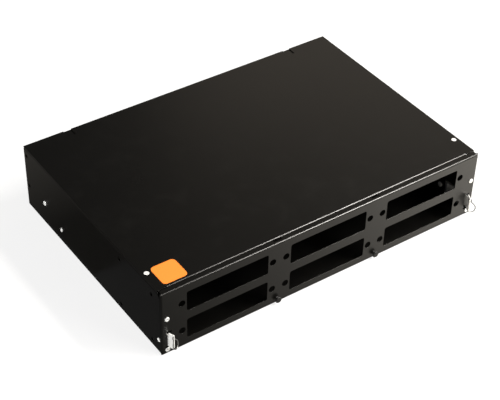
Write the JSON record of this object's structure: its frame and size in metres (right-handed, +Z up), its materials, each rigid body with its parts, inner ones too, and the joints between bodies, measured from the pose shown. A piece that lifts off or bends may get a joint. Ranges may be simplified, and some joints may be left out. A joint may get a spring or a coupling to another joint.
{
  "type": "fibre enclosure",
  "caption": "Rack fibre enclosure: a black folded-steel shell with a sliding drawer, rows of adapter plate openings, sprung latch tongues with pull rings and a flat lift-off cover.",
  "frame": {"origin": "centre of the shell's floor, at its underside", "axes": "+Z up, -Y out of the front panel, +X to the right as seen from the front"},
  "size_m": [0.4423, 0.3212, 0.0882],
  "materials": {
    "black_powder_coat": "satin fine-texture powder coat",
    "zinc_plate": "bright zinc plate",
    "slide_steel": "plated rolled steel",
    "hard_steel": "ground and polished",
    "spring_wire": "plated spring steel",
    "black_knob": "glossy moulded",
    "black_plastic": "fine spark-eroded grain",
    "grommet_rubber": "matt moulded rubber",
    "orange_sticker": "bare printed film",
    "clear_lid": "clear moulded plastic"
  },
  "bodies": {
    "chassis": {"shell_floor": "black_powder_coat", "shell_rear": "black_powder_coat", "shell_side_left": "black_powder_coat", "shell_side_right": "black_powder_coat", "top_cover": "black_powder_coat", "cover_screws": "zinc_plate", "blank_label": "orange_sticker", "slide_outer_left": "slide_steel", "slide_outer_right": "slide_steel", "striker_screws": "zinc_plate", "rail_screws": "zinc_plate", "earth_screw": "zinc_plate", "earth_nut": "zinc_plate", "cable_grommet_1": "grommet_rubber", "cable_grommet_2": "grommet_rubber", "cable_grommet_3": "grommet_rubber", "cable_grommet_4": "grommet_rubber"},
    "drawer": {"anchor_base_left": "black_plastic", "anchor_base_right": "black_plastic", "anchor_cap_left": "black_plastic", "anchor_cap_right": "black_plastic", "anchor_screws": "zinc_plate", "drawer_tray": "black_powder_coat", "front_panel": "black_powder_coat", "knob_nuts": "zinc_plate", "latch_pins": "hard_steel", "latch_spring_left": "spring_wire", "latch_spring_right": "spring_wire", "panel_screws": "zinc_plate", "pull_knob_left": "black_knob", "pull_knob_right": "black_knob", "slack_spool_left": "black_plastic", "slack_spool_right": "black_plastic", "slide_inner_left": "slide_steel", "slide_inner_right": "slide_steel", "splice_lid": "clear_lid", "splice_stud": "zinc_plate", "splice_tray_1": "black_plastic", "splice_tray_2": "black_plastic", "tray_screws": "zinc_plate", "wing_nut": "zinc_plate"},
    "cage_left": {"ball_cage_left": "slide_steel", "slide_balls_left": "hard_steel"},
    "tongue_left": {"latch_tongue_left": "zinc_plate"},
    "ring_left": {"pull_ring_left": "spring_wire"},
    "cage_right": {"ball_cage_right": "slide_steel", "slide_balls_right": "hard_steel"},
    "tongue_right": {"latch_tongue_right": "zinc_plate"},
    "ring_right": {"pull_ring_right": "spring_wire"}
  },
  "joints": [
    {"name": "drawer_slide", "type": "slide", "parent": "chassis", "child": "drawer", "axis": [0, -1, 0], "range_m": [0, 0.18]},
    {"name": "cage_left_slide", "type": "slide", "parent": "chassis", "child": "cage_left", "axis": [0, -1, 0], "range_m": [0, 0.09]},
    {"name": "cage_right_slide", "type": "slide", "parent": "chassis", "child": "cage_right", "axis": [0, -1, 0], "range_m": [0, 0.09]},
    {"name": "tongue_left_pivot", "type": "hinge", "parent": "drawer", "child": "tongue_left", "pos_m": [-0.2116, -0.121, 0.0196], "axis": [0, 0, 1], "range_deg": [0, 5], "stiffness_Nm_per_rad": 0.6, "springref_deg": -1.15, "deforming": ["latch_spring_left"]},
    {"name": "tongue_right_pivot", "type": "hinge", "parent": "drawer", "child": "tongue_right", "pos_m": [0.2116, -0.121, 0.0196], "axis": [0, 0, -1], "range_deg": [0, 5], "stiffness_Nm_per_rad": 0.6, "springref_deg": -1.15, "deforming": ["latch_spring_right"]},
    {"name": "ring_left_swing", "type": "hinge", "parent": "tongue_left", "child": "ring_left", "pos_m": [-0.20907, -0.15858, 0.0282], "axis": [-0.9171, -0.3987, 0], "range_deg": [0, 110]},
    {"name": "ring_right_swing", "type": "hinge", "parent": "tongue_right", "child": "ring_right", "pos_m": [0.20907, -0.15858, 0.0282], "axis": [-0.9171, 0.3987, 0], "range_deg": [0, 110]}
  ],
  "couplings": [
    {"joint": "cage_left_slide", "follows": "drawer_slide", "ratio": 0.5},
    {"joint": "cage_right_slide", "follows": "drawer_slide", "ratio": 0.5}
  ]
}
